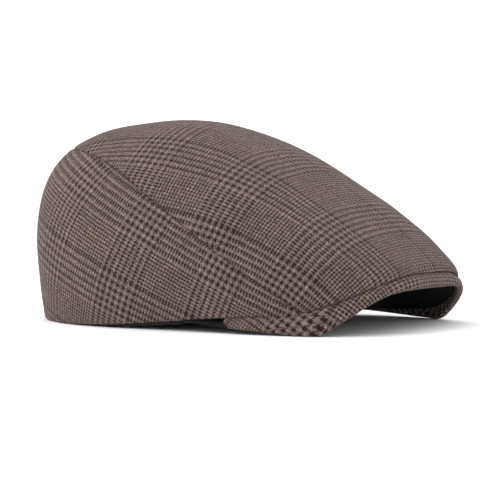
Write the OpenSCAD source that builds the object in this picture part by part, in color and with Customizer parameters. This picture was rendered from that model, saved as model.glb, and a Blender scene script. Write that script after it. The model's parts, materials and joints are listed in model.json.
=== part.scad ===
// Flat cap: three cloth crown panels sewn down on a stiff curved visor, with a lining, a band stay, a
// sweatband and two sewn-in labels that hang free.
// Frame: the visor points along -Y, the wearer's left is +X, +Z is up, and the cap stands on z = 0.
// Angles around the cap are measured from the front: 0 is the visor's tip, +90 the wearer's left.

/* [Overall size] */
// Height of the crown's highest point
crown_height = 121.9; // [118:0.1:126]
// Half the width of the crown at its lower edge
base_half_width = 84.4; // [82:0.2:87]
// Distance from the middle of the head opening to its back
rear_length = 106.4; // [103:0.2:109]
// Distance from the middle of the head opening to the forehead
forehead_length = 95; // [90:1:100]
// Distance from the middle of the head opening to the crown's front lip
lip_length = 147.2; // [144:0.2:150]
// How far the middle of the head opening lies behind the origin
opening_y = 19.5; // [18:0.5:21]

/* [Lower edge] */
// Height of the lower edge at the temples, where the visor lifts it
temple_rise = 9.8; // [8:0.2:12]
// Height of the crown's lip at the front
lip_height = 32.4; // [31:0.2:34]
// Height of the forehead seam at the front
forehead_height = 43; // [40:1:46]
// Squareness of the crown's lip in plan, where 2 is an ellipse
lip_squareness = 3.9; // [3.6:0.1:4.1]
// Squareness of the back of the head opening in plan, where 2 is an ellipse
opening_squareness = 2.2; // [2:0.1:2.4]
// Squareness of its front half, which runs out to the visor's ends
forehead_squareness = 2.6; // [2.4:0.1:2.8]

/* [Crown shape] */
// How far the crown's top lies behind the origin
apex_y = 31.3; // [28:0.1:33]
// How far the front bulges out over the lip
front_bulge = 10.2; // [8:0.1:11]
// How far the sides bulge out
side_bulge = 16.3; // [15:0.1:18]
// How far the back bulges out
back_bulge = 10.4; // [10:0.1:13]
// Height at which the side seam levels out at the back
seam_top = 106.1; // [104:0.1:108]
// Height of the side seam beside the origin
seam_middle = 68.7; // [67:0.1:71]
// Steepness of the side seam
seam_slope = 0.63; // [0.6:0.01:0.66]

/* [Cloth] */
// Thickness of the crown's wool cloth
crown_cloth = 1.6; // [1.2:0.1:2]
// Thickness of the lining
lining_cloth = 0.6; // [0.4:0.1:0.8]
// Space between the wool cloth and the lining at the top
lining_gap = 2.4; // [2:0.2:4]

/* [Visor] */
// Width of the visor's strip beyond the crown's lip, seen from above
strip_width = 1.4; // [1:0.1:3]
// Height of the arch under the visor's tip
tip_height = 24.1; // [23:0.1:26]
// Half the width of the visor's raised arch
arch_half_width = 74.6; // [73:0.2:76]
// Thickness of the stiff board inside the visor
board_thickness = 1.6; // [1.2:0.1:2]
// Thickness of each visor cover
cover_cloth = 1.2; // [1:0.1:1.4]

/* [Bands and labels] */
// Height of the sweatband
band_height = 30; // [26:1:34]
// Thickness of the sweatband
band_cloth = 1.2; // [0.8:0.1:1.4]
// Height of the stay behind the sweatband
stay_height = 22; // [18:1:24]
// Thickness of the stay
stay_thickness = 0.8; // [0.6:0.1:1]
// Width of the care label
care_width = 28; // [22:1:30]
// Length of the care label
care_length = 24; // [18:1:25]
// Width of the size tab
tab_width = 16; // [12:1:18]
// Length of the size tab
tab_length = 12; // [9:1:14]

/* [Hidden] */

wool = [0.43, 0.385, 0.36];
black_cloth = [0.05, 0.05, 0.055];
satin = [0.10, 0.095, 0.10];
buckram = [0.72, 0.70, 0.64];
label_white = [0.86, 0.85, 0.82];

// Where the lower edge starts to lift, and over what length
lift_start_y = 77;
lift_length = 160;
// The lip's and the forehead's lift end this far out from the middle
lip_lift_half_width = 79.4;
lip_lift_power = 3.26;
forehead_lift_half_width = 74;
forehead_lift_power = 2.4;
// How high and how far back the crown's section handles reach: front, side, back
rise_handle = [5.6, 52, 81.7];
bulge_handle = [front_bulge, side_bulge, back_bulge];
top_handle = [58, 69.5, 111];
// The same for the lining
lining_rise = [30.5, 60, 90];
lining_bulge = [40, 6, 2];
lining_top_handle = [20, 65, 100.5];
// Space left between the cloth layers at the head opening
layer_gap = 0.3;
band_gap = 0.2;
// Distances in from the crown's lower edge to the outer face of each layer at the head opening
lining_inset = crown_cloth + layer_gap;
stay_inset = lining_inset + lining_cloth + layer_gap;
band_inset = stay_inset + stay_thickness + band_gap;
// The visor's inner edge stops this far outside the sweatband
visor_inset = band_inset - 1.5;
// The sweatband hangs this far below the head opening's edge, and a little more in front
band_overhang = 1.5;
band_front_overhang = 0.8;
// How far the stay starts above that edge, and the lining at the back and in front
stay_rise = 2.4;
lining_foot_rise = 0.6;
lining_front_rise = 2.2;
// Edges change over to their front shape while the cosine of the angle grows to this
front_change = 0.3;
// The ends of the visor's under cover, as an angle along the lip and along the forehead
visor_end = 86.5;
visor_forehead_end = 74.3;
// The share of the under cover's length that the board and the wool cover take up
board_end = 0.895;
cover_end = 0.915;
half_board = board_thickness / 2;
half_visor = half_board + cover_cloth;
// The labels' thickness, rounded corners and straight top, and how far they hang off the sweatband
label_thickness = 0.5;
label_corner = 2;
label_top = 1;
label_gap = 0.4;
// Where each label hangs, as an angle round the cap
care_angle = 154;
tab_angle = 180;
// The tightest radius of the sweatband where the labels hang
curve_radius = 62;
// The visor's downward slope under the crown's lip
fold_slope = 34;
// The sharpness with which the side seam levels out at the back
seam_round = 11.6;
// The side seam stops this many degrees behind the point where it meets the lip
seam_end_gap = 0.6;

// Steps round and up each piece
side_steps = 22;
front_steps = 22;
panel_steps = 8;
top_steps = 8;
lining_steps = 6;
half_lining_steps = 24;
band_steps = 64;
visor_steps = 42;
end_steps = 5;
blade_steps = 8;
strip_steps = 4;

// --- curves ---------------------------------------------------------------------------------------

function smooth(t) = let (c = max(0, min(1, t))) c * c * (3 - 2 * c);
function signed_power(v, e) = sign(v) * pow(abs(v), e);
// Rounds the corner where a falling value reaches zero
function soft_positive(t, w = 0.12) = t > w ? t : t < -w ? 0 : pow(t + w, 2) / (4 * w);
function unit(v) = v / norm(v);
function bezier2(a, b, c, t) = (1 - t) * (1 - t) * a + 2 * (1 - t) * t * b + t * t * c;
function bezier3(a, b, c, d, t) =
    pow(1 - t, 3) * a + 3 * pow(1 - t, 2) * t * b + 3 * (1 - t) * t * t * c + pow(t, 3) * d;
// Mixes a front, a side and a back value at an angle
function around(values, angle) =
    values[0] * pow(max(0, cos(angle)), 2) + values[1] * pow(sin(angle), 2)
    + values[2] * pow(max(0, -cos(angle)), 2);
function oval(angle, half_width, length, squareness) = [
    half_width * signed_power(sin(angle), 2 / squareness),
    opening_y - length * signed_power(cos(angle), 2 / squareness)
];
function side_height(y) = temple_rise * smooth((lift_start_y - y) / lift_length);
function front_share(angle) = smooth(cos(angle) / front_change);

// The crown's lower edge, outside
function lip(angle) =
    let (front = cos(angle) > 0,
         p = oval(angle, base_half_width, front ? lip_length : rear_length,
                  front ? lip_squareness : opening_squareness),
         arch = soft_positive(1 - pow(abs(p.x) / lip_lift_half_width, lip_lift_power)),
         lift = (lip_height - temple_rise) * arch * front_share(angle))
    [p.x, p.y, side_height(p.y) + lift];

// The head opening's edge, a distance in from the crown's lower edge
function opening(angle, inset) =
    let (front = cos(angle) > 0,
         p = oval(angle, base_half_width - inset, (front ? forehead_length : rear_length) - inset,
                  front ? forehead_squareness : opening_squareness),
         arch = soft_positive(1 - pow(abs(p.x) / forehead_lift_half_width, forehead_lift_power)),
         lift = (forehead_height - temple_rise) * arch * front_share(angle))
    [p.x, p.y, side_height(p.y) + lift];

// --- crown ----------------------------------------------------------------------------------------

// A dome's section from its lower edge to its top, as one curve per angle
function dome(start, angle, t, top, rise, bulge, top_reach) =
    let (away = unit([start.x - top.x, start.y - top.y, 0]))
    bezier3(start, start + around(bulge, angle) * away + [0, 0, around(rise, angle)],
            top + around(top_reach, angle) * away, top, t);
crown_top = [0, apex_y, crown_height];
function crown(angle, t) =
    dome(lip(angle), angle, t, crown_top, rise_handle, bulge_handle, top_handle);
function crown_normal(angle, t) =
    unit(cross(crown(angle + 0.05, t) - crown(angle - 0.05, t),
               crown(angle, t + 0.002) - crown(angle, max(0, t - 0.002))));
// The crown's inner face. Its lowest row is level with the outer one at the back, and in front it
// rises with the visor's slope, so the cloth lies flat on the visor. Behind the visor's ends that
// rise runs out over this many degrees.
visor_run_out = 8;
function crown_inside(angle, t) =
    let (p = crown(angle, t) - crown_cloth * crown_normal(angle, t),
         on_visor = smooth((visor_end + visor_run_out - abs(angle)) / visor_run_out))
    t == 0 ? [p.x, p.y, lip(angle).z + crown_cloth * tan(fold_slope) * on_visor] : p;

// The side seam's height at a distance behind the origin
function seam_height(y) =
    seam_top - seam_round * ln(1 + exp((seam_top - seam_middle - seam_slope * y) / seam_round));
function over_seam(p) = p.z - seam_height(p.y);
// Where on a section the side seam lies, by halving
function seam_at(angle, low = 0, high = 0.9, left = 16) =
    let (middle = (low + high) / 2)
    left == 0 ? middle
    : over_seam(crown(angle, middle)) < 0 ? seam_at(angle, middle, high, left - 1)
    : seam_at(angle, low, middle, left - 1);
// The angle at which the side seam runs out into the lip
function seam_end(low = 20, high = 90, left = 16) =
    let (middle = (low + high) / 2)
    left == 0 ? middle
    : over_seam(lip(middle)) > 0 ? seam_end(middle, high, left - 1)
    : seam_end(low, middle, left - 1);
seam_front = seam_end() + seam_end_gap;

side_angles = [for (i = [0 : side_steps]) seam_front + (180 - seam_front) * i / side_steps];
ring_angles = concat(
    [for (i = [side_steps : -1 : 0]) -side_angles[i]],
    [for (i = [1 : front_steps - 1]) seam_front * (2 * i / front_steps - 1)],
    [for (i = [0 : side_steps - 1]) side_angles[i]]);
function panel_foot(angle) = abs(angle) < seam_front - 0.01 ? 0 : seam_at(abs(angle));

// --- lining ---------------------------------------------------------------------------------------

lining_top_point = [0, apex_y, crown_height - crown_cloth - lining_gap];
function lining_foot(angle) =
    opening(angle, lining_inset)
    + [0, 0, lining_foot_rise + lining_front_rise * front_share(angle)];
function lining_face(angle, t) =
    dome(lining_foot(angle), angle, t, lining_top_point, lining_rise, lining_bulge, lining_top_handle);
function lining_normal(angle, t) =
    unit(cross(lining_face(angle + 0.05, t) - lining_face(angle - 0.05, t),
               lining_face(angle, t + 0.002) - lining_face(angle, max(0, t - 0.002))));
function lining(angle, t, depth) = lining_face(angle, t) - depth * lining_normal(angle, t);
// The lining's own side seam, level all round
lining_seam = 0.55;

// --- visor ----------------------------------------------------------------------------------------

// Along the visor, s runs from -1 at the wearer's right end of its under cover to 1 at the left end
function visor_root(s) = opening(s * visor_forehead_end, visor_inset);
// The middle of the visor lies this far under the crown's lip. Beyond the wool cover's end, the under
// cover alone rises to meet the lip.
contact_gap = 0.1;
function visor_drop(s) =
    let (alone = smooth((abs(s) - cover_end - 0.01) / (1 - cover_end - 0.01)))
    contact_gap + (half_visor - (half_visor + half_board) * alone) / cos(fold_slope);
function visor_fold(s) = lip(s * visor_end) - [0, 0, visor_drop(s)];
function lip_outward(angle) =
    let (d = lip(angle + 0.1) - lip(angle - 0.1)) unit([d.y, -d.x, 0]);
// The strip's least width, and the shares of the visor's length over which it widens and deepens
least_strip = 0.4;
widening = 0.2;
deepening = 1 - cover_end;
function visor_edge(s) =
    let (fold = visor_fold(s),
         width = least_strip + (strip_width - least_strip) * smooth((1 - abs(s)) / widening),
         p = fold + width * lip_outward(s * visor_end),
         arch = soft_positive(1 - pow(abs(p.x) / arch_half_width, arch_power)),
         rim = tip_height * arch + end_rise * smooth((corner_y + p.y) / corner_length) + edge_lift)
    [p.x, p.y, fold.z + (rim - fold.z) * smooth((1 - abs(s)) / deepening)];
// How sharply the arch falls at its sides, how far forward the lowest corners are, and how much the
// rim rises behind them, over what length
arch_power = 4.6;
corner_y = 103;
end_rise = 3.5;
corner_length = 75;
// Height of the middle of the visor's thickness where its rim meets the table
edge_lift = 1.2;
function fold_direction(s) =
    cos(fold_slope) * lip_outward(s * visor_end) - [0, 0, sin(fold_slope)];
// The middle of the visor's thickness: v runs from the forehead (0) over the lip (blade) to the rim (1)
blade = 0.8;
// How far the visor keeps to its slope on each side of the lip, as a share of each side's length
blade_reach = 0.5;
strip_reach = 0.35;
function visor_middle(s, v) =
    let (root = visor_root(s), fold = visor_fold(s), rim = visor_edge(s), way = fold_direction(s))
    v <= blade
        ? bezier2(root, fold - blade_reach * norm(fold - root) * way, fold, v / blade)
        : bezier2(fold, fold + strip_reach * norm(rim - fold) * way, rim, (v - blade) / (1 - blade));
function visor_normal(s, v) =
    let (c = max(-0.99, min(0.99, s)), d = max(0.01, min(0.99, v)))
    unit(cross(visor_middle(c, d + 0.005) - visor_middle(c, d - 0.005),
               visor_middle(c + 0.005, d) - visor_middle(c - 0.005, d)));
// A point of the visor, a height above its middle and a distance beyond its rim
function visor_point(s, v, above, beyond = 0) =
    visor_middle(s, v) + above * visor_normal(s, v)
    + beyond * unit(visor_middle(s, 1) - visor_middle(s, 0.97));
// The covers' outlines round the rim, each point a height above the visor's middle and a distance
// beyond the rim: the wool cover's outer and inner faces, and the under cover's last points
wool_wrap = [[half_visor - 0.3, 0.8], [half_board, 1.2], [-half_board / 2, 1.2], [-half_board, 1]];
wool_wrap_inside = [for (share = [0.6, 0.2, -0.4, -1]) [share * half_board, 0]];
under_wrap = [[-half_board, 0.9], [-half_visor + 0.2, 0.6]];
// Stations along the visor: the board's, the wool cover's and the under cover's, each among the next
board_stations = [for (i = [0 : visor_steps]) board_end * sin(90 * (1 - 2 * i / visor_steps))];
cover_stations = concat([cover_end], board_stations, [-cover_end]);
end_stations = [for (i = [0 : end_steps - 1]) 1 - (1 - cover_end) * i / end_steps];
under_stations = concat(end_stations, cover_stations, [for (i = [end_steps - 1 : -1 : 0]) -end_stations[i]]);
visor_v = concat([for (j = [0 : blade_steps]) blade * j / blade_steps],
                 [for (j = [1 : strip_steps]) blade + (1 - blade) * j / strip_steps]);

// --- solids ---------------------------------------------------------------------------------------

function triangles(a, b, c, d) = [[a, b, c], [a, c, d]];

// A closed skin between an outer and an inner grid of the same size. Rows run round the cap and
// columns up it. With ring set, the rows join up, and tip closes the last column in a point.
module skin(outer, inner, ring = false, tip = []) {
    n = len(outer);
    m = len(outer[0]);
    spans = ring ? n : n - 1;
    function a(i, j) = (i % n) * m + j;
    function b(i, j) = n * m + a(i, j);
    points = concat([for (row = outer) each row], [for (row = inner) each row], tip);
    walls = [for (i = [0 : spans - 1], j = [0 : m - 2]) each concat(
        triangles(a(i, j), a(i, j + 1), a(i + 1, j + 1), a(i + 1, j)),
        triangles(b(i, j), b(i + 1, j), b(i + 1, j + 1), b(i, j + 1)))];
    foot = [for (i = [0 : spans - 1]) each triangles(a(i, 0), a(i + 1, 0), b(i + 1, 0), b(i, 0))];
    crest = len(tip) > 0
        ? [for (i = [0 : spans - 1]) each [
            [a(i, m - 1), 2 * n * m, a(i + 1, m - 1)],
            [b(i + 1, m - 1), 2 * n * m + 1, b(i, m - 1)]]]
        : [for (i = [0 : spans - 1]) each
            triangles(a(i, m - 1), b(i, m - 1), b(i + 1, m - 1), a(i + 1, m - 1))];
    ends = ring ? [] : [for (j = [0 : m - 2]) each concat(
        triangles(a(0, j + 1), a(0, j), b(0, j), b(0, j + 1)),
        triangles(a(n - 1, j), a(n - 1, j + 1), b(n - 1, j + 1), b(n - 1, j)))];
    polyhedron(points, concat(walls, foot, crest, ends));
}

// A band that stands in the head opening
module opening_band(inset, thickness, low, high) {
    angles = [for (i = [0 : band_steps - 1]) i * 360 / band_steps];
    function wall(angle, d) =
        let (p = opening(angle, inset), q = opening(angle, inset + d))
        [for (h = [0, 0.5, 1]) [q.x, q.y, p.z + low(angle) + h * (high - low(angle))]];
    skin([for (a = angles) wall(a, 0)], [for (a = angles) wall(a, thickness)], ring = true);
}

// A cloth flap that hangs inside the back of the sweatband, turned to face the cap's middle
module hanging_flap(angle, width, length, thickness) {
    p = opening(angle, band_inset + band_cloth);
    along = opening(angle + 1, band_inset) - opening(angle - 1, band_inset);
    inward = unit([-along.y, along.x, 0]);
    clearance = label_gap + pow(width, 2) / (8 * curve_radius);
    translate([p.x, p.y, p.z + band_height] + (clearance + thickness / 2) * inward)
        rotate([0, 0, atan2(inward.y, inward.x) + 90])
        rotate([90, 0, 0])
        linear_extrude(thickness, center = true)
        hull() {
            translate([-width / 2, -label_top]) square([width, label_top]);
            for (side = [-1, 1])
                translate([side * (width / 2 - label_corner), label_corner - length])
                    circle(label_corner, $fn = 24);
        }
}

module top_panel() {
    function row(angle, inside) =
        let (foot = panel_foot(angle))
        [for (j = [0 : top_steps - 1])
            let (t = foot + (1 - foot) * j / top_steps)
            inside ? crown_inside(angle, t) : crown(angle, t)];
    color(wool) skin([for (a = ring_angles) row(a, false)], [for (a = ring_angles) row(a, true)],
        ring = true, tip = [crown_top, crown_top - [0, 0, crown_cloth]]);
}

module side_panel(side) {
    angles = side > 0 ? side_angles : [for (i = [side_steps : -1 : 0]) -side_angles[i]];
    function row(angle, inside) =
        let (head = seam_at(abs(angle)))
        [for (j = [0 : panel_steps])
            let (t = head * j / panel_steps)
            inside ? crown_inside(angle, t) : crown(angle, t)];
    color(wool) skin([for (a = angles) row(a, false)], [for (a = angles) row(a, true)]);
}
module side_panel_left() { side_panel(1); }
module side_panel_right() { side_panel(-1); }

module lining_top() {
    angles = [for (i = [0 : 2 * half_lining_steps - 1]) i * 180 / half_lining_steps];
    function row(angle, depth) =
        [for (j = [0 : lining_steps - 1])
            lining(angle, lining_seam + (1 - lining_seam) * j / lining_steps, depth)];
    color(satin) skin([for (a = angles) row(a, 0)], [for (a = angles) row(a, lining_cloth)],
        ring = true, tip = [lining_top_point, lining_top_point - [0, 0, lining_cloth]]);
}

module lining_side(side) {
    first = side > 0 ? 0 : -180;
    angles = [for (i = [0 : half_lining_steps]) first + i * 180 / half_lining_steps];
    function row(angle, depth) =
        [for (j = [0 : lining_steps]) lining(angle, lining_seam * j / lining_steps, depth)];
    color(satin) skin([for (a = angles) row(a, 0)], [for (a = angles) row(a, lining_cloth)]);
}
module lining_side_left() { lining_side(1); }
module lining_side_right() { lining_side(-1); }

module band_stay() {
    color(buckram) opening_band(stay_inset, stay_thickness, function (a) stay_rise,
        stay_rise + stay_height);
}

module sweatband() {
    color(black_cloth) opening_band(band_inset, band_cloth,
        function (a) -min(band_overhang + band_front_overhang * front_share(a), opening(a, band_inset).z),
        band_height);
}

module visor_board() {
    color(buckram) skin([for (s = board_stations) [for (v = visor_v) visor_point(s, v, half_board)]],
        [for (s = board_stations) [for (v = visor_v) visor_point(s, v, -half_board)]]);
}

// A visor cover between two heights above the visor's middle, with each face's points round the rim
module visor_cover(stations, top, bottom, top_wrap, bottom_wrap) {
    function row(s, above, wrap) = concat(
        [for (v = visor_v) visor_point(s, v, above)],
        [for (w = wrap) visor_point(s, 1, w[0], w[1])]);
    skin([for (s = stations) row(s, top, top_wrap)], [for (s = stations) row(s, bottom, bottom_wrap)]);
}

// The wool cover lies on the board and wraps round its rim
module visor_top_cover() {
    color(wool) visor_cover(cover_stations, half_visor, half_board, wool_wrap, wool_wrap_inside);
}

module visor_under_cover() {
    color(black_cloth) visor_cover(under_stations, -half_board, -half_visor,
        [under_wrap[0]], [under_wrap[1]]);
}

module care_label() {
    color(label_white) hanging_flap(care_angle, care_width, care_length, label_thickness);
}
module size_tab() {
    color(label_white) hanging_flap(tab_angle, tab_width, tab_length, label_thickness);
}

top_panel();
side_panel_left();
side_panel_right();
lining_top();
lining_side_left();
lining_side_right();
band_stay();
sweatband();
visor_board();
visor_top_cover();
visor_under_cover();
care_label();
size_tab();
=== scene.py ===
# A flat cap in brown glen-check wool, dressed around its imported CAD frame.
# Metres. The visor points along -Y, the wearer's left is +X, +Z is up, and the cap stands on z = 0.
# Angles round the cap are in degrees: 0 is the visor's tip, 90 the wearer's left, 180 the back.
import json
import math

import bpy
import numpy as np
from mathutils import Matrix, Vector, noise
from mathutils.kdtree import KDTree


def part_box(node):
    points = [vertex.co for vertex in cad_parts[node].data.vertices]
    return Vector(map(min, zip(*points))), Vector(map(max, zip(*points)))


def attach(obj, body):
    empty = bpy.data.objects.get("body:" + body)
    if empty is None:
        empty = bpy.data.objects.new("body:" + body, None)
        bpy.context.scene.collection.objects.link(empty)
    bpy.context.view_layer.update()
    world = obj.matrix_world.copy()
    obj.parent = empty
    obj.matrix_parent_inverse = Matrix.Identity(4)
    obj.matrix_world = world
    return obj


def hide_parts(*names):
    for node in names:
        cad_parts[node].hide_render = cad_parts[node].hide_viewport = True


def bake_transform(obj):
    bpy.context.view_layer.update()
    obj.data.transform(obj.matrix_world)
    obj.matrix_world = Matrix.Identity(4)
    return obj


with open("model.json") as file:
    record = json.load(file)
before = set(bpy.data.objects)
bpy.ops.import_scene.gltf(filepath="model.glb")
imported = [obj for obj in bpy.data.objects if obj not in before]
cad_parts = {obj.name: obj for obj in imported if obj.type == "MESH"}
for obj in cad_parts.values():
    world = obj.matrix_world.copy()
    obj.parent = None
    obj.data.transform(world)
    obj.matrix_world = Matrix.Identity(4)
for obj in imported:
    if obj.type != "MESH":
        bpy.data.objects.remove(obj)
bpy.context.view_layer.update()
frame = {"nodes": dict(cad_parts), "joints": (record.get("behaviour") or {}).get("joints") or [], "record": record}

# --- driving sizes, from the frame where it holds them ---------------------------------------------

UP = np.array([0.0, 0.0, 1.0])
CROWN_CLOTH = 0.0016
BAND_INSET = 0.0038
BAND_CLOTH = 0.0012
STAY_BOTTOM = 0.0024
BAND_LOW, BAND_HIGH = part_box("sweatband")
PANEL_LOW, PANEL_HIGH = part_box("top_panel")
OPENING_Y = frame["record"]["mounts"][0]["pos_m"][1]
HALF_WIDTH = BAND_HIGH.x + BAND_INSET
REAR_LENGTH = BAND_HIGH.y + BAND_INSET - OPENING_Y
FOREHEAD_LENGTH = OPENING_Y - BAND_LOW.y + BAND_INSET
LIP_LENGTH = OPENING_Y - PANEL_LOW.y
APEX_Y = 0.0313
CROWN_TOP = np.array([0.0, APEX_Y, PANEL_HIGH.z])
LINING_TOP = np.array([0.0, APEX_Y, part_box("lining_top")[1].z])
BAND_HEIGHT = 0.030

TEMPLE_RISE, LIFT_START_Y, LIFT_LENGTH = 0.0098, 0.077, 0.160
LIP_HEIGHT, LIP_LIFT_HALF_WIDTH, LIP_LIFT_POWER = 0.0324, 0.0794, 3.26
FOREHEAD_HEIGHT, FOREHEAD_LIFT_HALF_WIDTH, FOREHEAD_LIFT_POWER = 0.043, 0.074, 2.4
LIP_SQUARENESS, OPENING_SQUARENESS, FOREHEAD_SQUARENESS = 3.9, 2.2, 2.6
# The crown's section handles at the front, the side and the back, then the lining's
RISE = (0.0056, 0.052, 0.0817)
BULGE = (0.0102, 0.0163, 0.0104)
TOP_REACH = (0.058, 0.0695, 0.111)
LINING_RISE = (0.0305, 0.060, 0.090)
LINING_BULGE = (0.040, 0.006, 0.002)
LINING_REACH = (0.020, 0.065, 0.1005)
LINING_INSET = 0.0019
LINING_SEAM = 0.55
SEAM_TOP, SEAM_MIDDLE, SEAM_SLOPE, SEAM_ROUND = 0.1061, 0.0687, 0.63, 0.0116

VISOR_INSET = BAND_INSET - 0.0015
VISOR_END, VISOR_FOREHEAD_END = 86.5, 74.3
COVER_END = 0.915  # the share of the under cover's length that the wool cover takes up
HALF_VISOR, HALF_BOARD, CONTACT_GAP = 0.0020, 0.0008, 0.0001
FOLD_SLOPE = 34.0
STRIP_WIDTH, LEAST_STRIP, WIDENING = 0.0014, 0.0004, 0.2
TIP_HEIGHT, ARCH_HALF_WIDTH, ARCH_POWER = 0.0241, 0.0746, 4.6
CORNER_Y, CORNER_LENGTH, END_RISE, EDGE_LIFT = 0.103, 0.075, 0.0035, 0.0012
BLADE, BLADE_REACH, STRIP_REACH = 0.8, 0.5, 0.35

# --- curves and surfaces ---------------------------------------------------------------------------


def sind(angle):
    return np.sin(np.radians(angle))


def cosd(angle):
    return np.cos(np.radians(angle))


def smooth(t):
    c = np.clip(t, 0, 1)
    return c * c * (3 - 2 * c)


def soft_positive(t, w=0.12):
    """Rounds the corner where a falling value reaches zero."""
    return np.where(t > w, t, np.where(t < -w, 0.0, (t + w) ** 2 / (4 * w)))


def signed_power(v, e):
    return np.sign(v) * np.abs(v) ** e


def unit(v):
    return v / np.maximum(np.linalg.norm(v, axis=-1, keepdims=True), 1e-12)


def stack(x, y, z):
    return np.stack(np.broadcast_arrays(x, y, z), axis=-1)


def bezier2(a, b, c, t):
    return (1 - t) ** 2 * a + 2 * (1 - t) * t * b + t * t * c


def bezier3(a, b, c, d, t):
    return (1 - t) ** 3 * a + 3 * (1 - t) ** 2 * t * b + 3 * (1 - t) * t * t * c + t**3 * d


def around(values, angle):
    """Mixes a front, a side and a back value at an angle."""
    c, s = cosd(angle), sind(angle)
    return values[0] * np.maximum(0, c) ** 2 + values[1] * s**2 + values[2] * np.maximum(0, -c) ** 2


def lower_edge(angle, inset, front_length, front_squareness, height, lift_half_width, lift_power):
    """An edge round the cap that lifts towards the visor."""
    c, s = cosd(angle), sind(angle)
    length = np.where(c > 0, front_length, REAR_LENGTH) - inset
    squareness = np.where(c > 0, front_squareness, OPENING_SQUARENESS)
    x = (HALF_WIDTH - inset) * signed_power(s, 2 / squareness)
    y = OPENING_Y - length * signed_power(c, 2 / squareness)
    arch = soft_positive(1 - (np.abs(x) / lift_half_width) ** lift_power)
    side = TEMPLE_RISE * smooth((LIFT_START_Y - y) / LIFT_LENGTH)
    return stack(x, y, side + (height - TEMPLE_RISE) * arch * smooth(c / 0.3))


def lip(angle):
    """The crown's lower edge, outside."""
    return lower_edge(angle, 0.0, LIP_LENGTH, LIP_SQUARENESS, LIP_HEIGHT, LIP_LIFT_HALF_WIDTH, LIP_LIFT_POWER)


def opening(angle, inset):
    """The head opening's edge, a distance in from the crown's lower edge."""
    return lower_edge(angle, inset, FOREHEAD_LENGTH, FOREHEAD_SQUARENESS, FOREHEAD_HEIGHT,
                      FOREHEAD_LIFT_HALF_WIDTH, FOREHEAD_LIFT_POWER)


def dome(start, angle, t, top, rise, bulge, reach):
    """A dome's sections from its lower edge to its top, one curve for each angle."""
    away = unit((start - top) * [1, 1, 0])
    t = np.asarray(t)[..., None]
    lower = start + around(bulge, angle)[..., None] * away + around(rise, angle)[..., None] * UP
    return bezier3(start, lower, top + around(reach, angle)[..., None] * away, top, t)


def crown(angle, t):
    return dome(lip(angle), angle, t, CROWN_TOP, RISE, BULGE, TOP_REACH)


def lining(angle, t):
    foot = opening(angle, LINING_INSET) + (0.0006 + 0.0022 * smooth(cosd(angle) / 0.3))[..., None] * UP
    return dome(foot, angle, t, LINING_TOP, LINING_RISE, LINING_BULGE, LINING_REACH)


def normal_of(surface, a, b, step_a=0.05, step_b=0.002):
    """Points away from the surface's hollow side, for a surface that runs round and then up."""
    round_it = surface(a + step_a, b) - surface(a - step_a, b)
    up_it = surface(a, np.minimum(b + step_b, 1)) - surface(a, np.maximum(b - step_b, 0))
    return unit(np.cross(round_it, up_it))


def seam_height(y):
    """Height of the side seam at a distance behind the origin."""
    return SEAM_TOP - SEAM_ROUND * np.log1p(np.exp((SEAM_TOP - SEAM_MIDDLE - SEAM_SLOPE * y) / SEAM_ROUND))


def seam_at(angle):
    """Where on each section the side seam lies, by halving; 0 in front of the seam's end."""
    low, high = np.zeros_like(angle), np.full_like(angle, 0.9)
    for _ in range(24):
        middle = (low + high) / 2
        p = crown(angle, middle)
        below = p[..., 2] < seam_height(p[..., 1])
        low, high = np.where(below, middle, low), np.where(below, high, middle)
    return np.where(np.abs(angle) < SEAM_FRONT, 0.0, low)


def seam_end():
    """The angle at which the side seam runs out into the lip."""
    low, high = 20.0, 90.0
    for _ in range(24):
        middle = (low + high) / 2
        p = lip(np.array(middle))
        low, high = (middle, high) if p[2] > seam_height(p[1]) else (low, middle)
    return low + 0.6


SEAM_FRONT = seam_end()


def visor_middle(s, v):
    """The middle of the visor's thickness: s runs from its right end (-1) to its left end (1), v from the
    forehead (0) over the crown's lip (BLADE) to the rim (1)."""
    s, v = np.broadcast_arrays(s, v)
    a = s * VISOR_END
    d = lip(a + 0.1) - lip(a - 0.1)
    outward = unit(stack(d[..., 1], -d[..., 0], 0.0))
    root = opening(s * VISOR_FOREHEAD_END, VISOR_INSET)
    alone = smooth((np.abs(s) - COVER_END - 0.01) / (0.99 - COVER_END))
    drop = CONTACT_GAP + (HALF_VISOR - (HALF_VISOR + HALF_BOARD) * alone) / cosd(FOLD_SLOPE)
    fold = lip(a) - drop[..., None] * UP
    width = LEAST_STRIP + (STRIP_WIDTH - LEAST_STRIP) * smooth((1 - np.abs(s)) / WIDENING)
    rim = fold + width[..., None] * outward
    arch = soft_positive(1 - (np.abs(rim[..., 0]) / ARCH_HALF_WIDTH) ** ARCH_POWER)
    height = TIP_HEIGHT * arch + END_RISE * smooth((CORNER_Y + rim[..., 1]) / CORNER_LENGTH) + EDGE_LIFT
    rim[..., 2] = fold[..., 2] + (height - fold[..., 2]) * smooth((1 - np.abs(s)) / (1 - COVER_END))
    way = cosd(FOLD_SLOPE) * outward - sind(FOLD_SLOPE) * UP
    behind = fold - BLADE_REACH * np.linalg.norm(fold - root, axis=-1, keepdims=True) * way
    beyond = fold + STRIP_REACH * np.linalg.norm(rim - fold, axis=-1, keepdims=True) * way
    v = v[..., None]
    return np.where(v <= BLADE, bezier2(root, behind, fold, np.minimum(v / BLADE, 1)),
                    bezier2(fold, beyond, rim, np.maximum((v - BLADE) / (1 - BLADE), 0)))


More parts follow.
